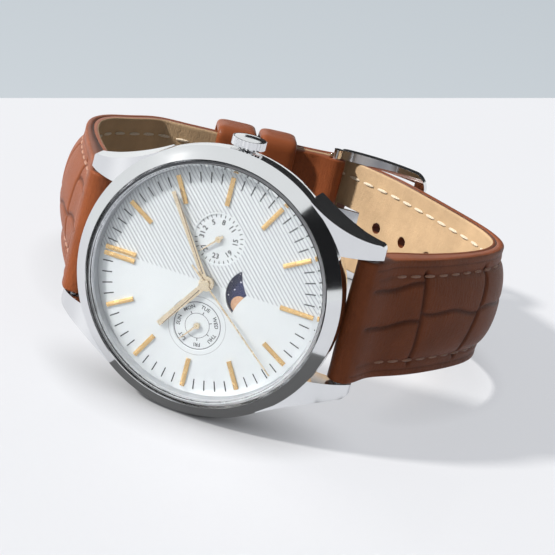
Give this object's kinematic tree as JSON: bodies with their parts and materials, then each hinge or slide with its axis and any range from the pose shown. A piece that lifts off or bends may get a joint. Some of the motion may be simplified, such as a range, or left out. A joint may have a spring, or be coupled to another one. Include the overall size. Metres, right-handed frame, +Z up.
{
  "type": "moon phase watch",
  "caption": "Round quartz dress watch with moon phase window, date and weekday subdials, fluted crown and a buckled leather strap closed in a loop.",
  "frame": {"origin": "ground under the middle of the watch as it stands on its 9 o'clock side and its buckle", "axes": "+X from 12 o'clock to 6 o'clock along the strap loop's width, +Z up past the crown at 3 o'clock, the dial faces -Y and leans back a little"},
  "size_m": [0.076, 0.0712, 0.0435],
  "materials": {
    "steel": "polished stainless steel",
    "sapphire": "clear polished crystal",
    "rubber": "matt black seal",
    "rehaut_steel": "satin",
    "dial_white": "satin white lacquer over brass",
    "gold": "polished gold plating",
    "champagne": "polished pale gold plating",
    "navy": "satin navy with bronze moons",
    "leather_cognac": "embossed cognac calf leather",
    "leather_tan": "smooth tan lining leather",
    "movement_brass": "plain",
    "movement_steel": "satin",
    "nylon": "plain",
    "board_green": "solder mask",
    "black_plastic": "plain",
    "copper": "enamelled wire"
  },
  "bodies": {
    "case": {"case_middle": "steel", "crystal": "sapphire", "crystal_gasket": "rubber", "rehaut": "rehaut_steel", "case_back": "steel", "case_back_gasket": "rubber", "spring_bar_twelve": "steel", "spring_bar_six": "steel", "dial_plate": "dial_white", "hour_markers": "gold", "main_plate": "movement_brass", "train_bridge": "movement_brass", "movement_screws": "movement_steel", "movement_holder": "nylon", "circuit_board": "board_green", "board_chip": "black_plastic", "quartz_oscillator": "movement_steel", "coil": "copper", "stator": "movement_steel", "battery": "movement_steel", "battery_clip": "movement_steel", "crown_tube": "movement_steel", "strap_long_upper": "leather_cognac", "strap_long_lining": "leather_tan", "strap_short_upper": "leather_cognac", "strap_short_lining": "leather_tan", "fixed_keeper": "leather_cognac", "buckle_spring_bar": "steel"},
    "minute_hand": {"minute_hand": "champagne", "cannon_pinion": "movement_brass"},
    "minute_wheel": {"minute_wheel": "movement_brass"},
    "hour_hand": {"hour_hand": "champagne", "hour_wheel": "movement_brass"},
    "date_driving_wheel": {"date_driving_wheel": "movement_brass"},
    "day_driving_wheel": {"day_driving_wheel": "movement_brass"},
    "date_hand": {"date_hand": "champagne", "date_star_wheel": "movement_brass"},
    "day_hand": {"day_hand": "champagne", "day_star_wheel": "movement_brass"},
    "moon_disc": {"moon_disc": "navy"},
    "seconds_hand": {"seconds_hand": "champagne", "seconds_wheel": "movement_brass"},
    "third_wheel": {"third_wheel": "movement_brass"},
    "centre_wheel": {"centre_wheel": "movement_brass"},
    "intermediate_wheel": {"intermediate_wheel": "movement_brass"},
    "rotor": {"rotor": "movement_steel"},
    "setting_pinion": {"setting_pinion": "movement_steel"},
    "crown": {"crown": "steel", "stem": "movement_steel", "crown_gasket": "rubber"},
    "setting_lever": {"setting_lever": "movement_steel"},
    "release_pin_twelve": {"release_pin_twelve": "steel"},
    "release_pin_six": {"release_pin_six": "steel"},
    "free_keeper": {"free_keeper": "leather_cognac"},
    "buckle_frame": {"buckle_frame": "steel"},
    "buckle_tongue": {"buckle_tongue": "steel"}
  },
  "joints": [
    {"name": "minute_turn", "type": "hinge", "parent": "case", "child": "minute_hand", "pos_m": [-0.00023, -0.03023, 0.02122], "axis": [0, -0.9867, 0.1625], "continuous": true},
    {"name": "minute_wheel_turn", "type": "hinge", "parent": "case", "child": "minute_wheel", "pos_m": [0.00227, -0.03, 0.02264], "axis": [0, -0.9867, 0.1625], "continuous": true},
    {"name": "hour_turn", "type": "hinge", "parent": "case", "child": "hour_hand", "pos_m": [-0.00023, -0.03023, 0.02122], "axis": [0, -0.9867, 0.1625], "continuous": true},
    {"name": "date_driving_turn", "type": "hinge", "parent": "case", "child": "date_driving_wheel", "pos_m": [-0.00409, -0.0297, 0.02442], "axis": [0, -0.9867, 0.1625], "continuous": true},
    {"name": "day_driving_turn", "type": "hinge", "parent": "case", "child": "day_driving_wheel", "pos_m": [0.00266, -0.0309, 0.01715], "axis": [0, -0.9867, 0.1625], "continuous": true},
    {"name": "date_turn", "type": "hinge", "parent": "case", "child": "date_hand", "pos_m": [-0.00023, -0.02908, 0.0282], "axis": [0, -0.9867, 0.1625], "continuous": true},
    {"name": "day_turn", "type": "hinge", "parent": "case", "child": "day_hand", "pos_m": [-0.00023, -0.03138, 0.01424], "axis": [0, -0.9867, 0.1625], "continuous": true},
    {"name": "moon_turn", "type": "hinge", "parent": "case", "child": "moon_disc", "pos_m": [0.00685, -0.03023, 0.02122], "axis": [0, -0.9867, 0.1625], "continuous": true},
    {"name": "seconds_turn", "type": "hinge", "parent": "case", "child": "seconds_hand", "pos_m": [-0.00023, -0.03023, 0.02122], "axis": [0, -0.9867, 0.1625], "continuous": true},
    {"name": "third_wheel_turn", "type": "hinge", "parent": "case", "child": "third_wheel", "pos_m": [0.00287, -0.03041, 0.02011], "axis": [0, -0.9867, 0.1625], "continuous": true},
    {"name": "centre_wheel_turn", "type": "hinge", "parent": "case", "child": "centre_wheel", "pos_m": [-0.00023, -0.03023, 0.02122], "axis": [0, -0.9867, 0.1625], "continuous": true},
    {"name": "intermediate_turn", "type": "hinge", "parent": "case", "child": "intermediate_wheel", "pos_m": [-0.00308, -0.02996, 0.02285], "axis": [0, -0.9867, 0.1625], "continuous": true},
    {"name": "rotor_turn", "type": "hinge", "parent": "case", "child": "rotor", "pos_m": [-0.00344, -0.02964, 0.02483], "axis": [0, -0.9867, 0.1625], "continuous": true},
    {"name": "crown_turn", "type": "hinge", "parent": "case", "child": "setting_pinion", "pos_m": [-0.00023, -0.02587, 0.02861], "axis": [0, 0.1625, 0.9867], "continuous": true},
    {"name": "crown_pull", "type": "slide", "parent": "setting_pinion", "child": "crown", "axis": [0, 0.1625, 0.9867], "range_m": [0, 0.0009]},
    {"name": "setting_lever_swing", "type": "hinge", "parent": "case", "child": "setting_lever", "pos_m": [-0.00323, -0.02851, 0.03168], "axis": [0, -0.9867, 0.1625], "range_deg": [0, 17.25]},
    {"name": "release_twelve_slide", "type": "slide", "parent": "case", "child": "release_pin_twelve", "axis": [0, 0.1625, 0.9867], "range_m": [0, 0.0011], "stiffness_N_per_m": 300, "springref_m": -0.001},
    {"name": "release_six_slide", "type": "slide", "parent": "case", "child": "release_pin_six", "axis": [0, 0.1625, 0.9867], "range_m": [0, 0.0011], "stiffness_N_per_m": 300, "springref_m": -0.001},
    {"name": "free_keeper_slide", "type": "slide", "parent": "case", "child": "free_keeper", "axis": [-0.9304, -0.3616, 0.0595], "range_m": [-0.003, 0.0005]},
    {"name": "buckle_frame_swing", "type": "hinge", "parent": "case", "child": "buckle_frame", "pos_m": [0.00047, 0.02996, 0.01131], "axis": [0, 0.1625, 0.9867], "range_deg": [0, 4]},
    {"name": "buckle_tongue_swing", "type": "hinge", "parent": "case", "child": "buckle_tongue", "pos_m": [0.00047, 0.02996, 0.01131], "axis": [0, 0.1625, 0.9867], "range_deg": [0, 4]}
  ],
  "couplings": [
    {"joint": "minute_wheel_turn", "follows": "minute_turn", "ratio": -0.33333},
    {"joint": "hour_turn", "follows": "minute_turn", "ratio": 0.083333},
    {"joint": "date_driving_turn", "follows": "minute_turn", "ratio": -0.041667},
    {"joint": "day_driving_turn", "follows": "minute_turn", "ratio": -0.041667},
    {"joint": "date_turn", "follows": "minute_turn", "ratio": 0.0013441},
    {"joint": "day_turn", "follows": "minute_turn", "ratio": 0.0059524},
    {"joint": "moon_turn", "follows": "minute_turn", "ratio": 0.00070621},
    {"joint": "third_wheel_turn", "follows": "seconds_turn", "ratio": -0.13333},
    {"joint": "centre_wheel_turn", "follows": "seconds_turn", "ratio": 0.016667},
    {"joint": "intermediate_turn", "follows": "seconds_turn", "ratio": -4},
    {"joint": "rotor_turn", "follows": "seconds_turn", "ratio": 30},
    {"joint": "setting_lever_swing", "follows": "crown_pull", "rad_per_m": 334.59},
    {"joint": "buckle_tongue_swing", "follows": "buckle_frame_swing", "ratio": 1}
  ]
}
